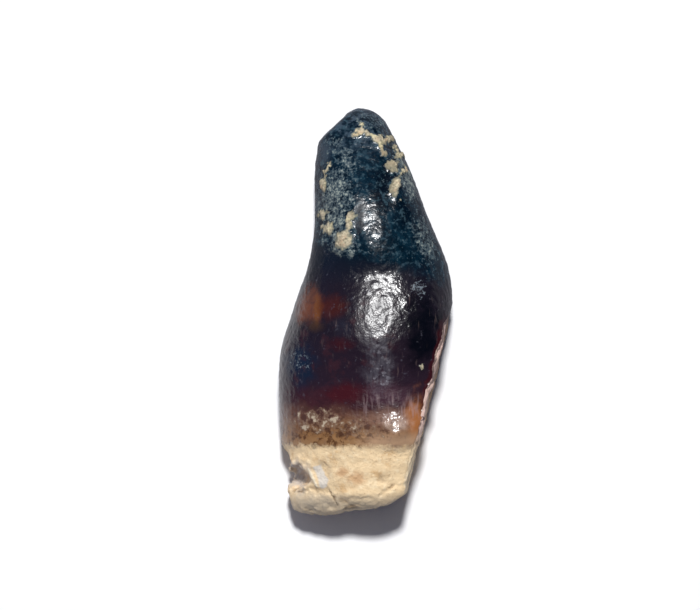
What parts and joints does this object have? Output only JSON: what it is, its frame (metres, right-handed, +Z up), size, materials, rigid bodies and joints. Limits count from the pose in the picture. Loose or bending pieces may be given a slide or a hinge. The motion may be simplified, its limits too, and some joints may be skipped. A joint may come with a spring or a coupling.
{
  "type": "fossil tooth",
  "caption": "Dark fossil tooth lying on its side, with a worn blunt tip, a broken flank, stuck sediment and a short pale stub of root.",
  "frame": {"origin": "under the middle of the tooth's box, on the flat worn patch that it lies on", "axes": "+Z up from the resting face, +Y along the tooth from root to tip, +X towards the broken flank"},
  "size_m": [0.011, 0.026, 0.0074],
  "materials": {
    "fossil_enamel": "worn gloss"
  },
  "bodies": {
    "root": {"tooth": "fossil_enamel"}
  },
  "joints": []
}
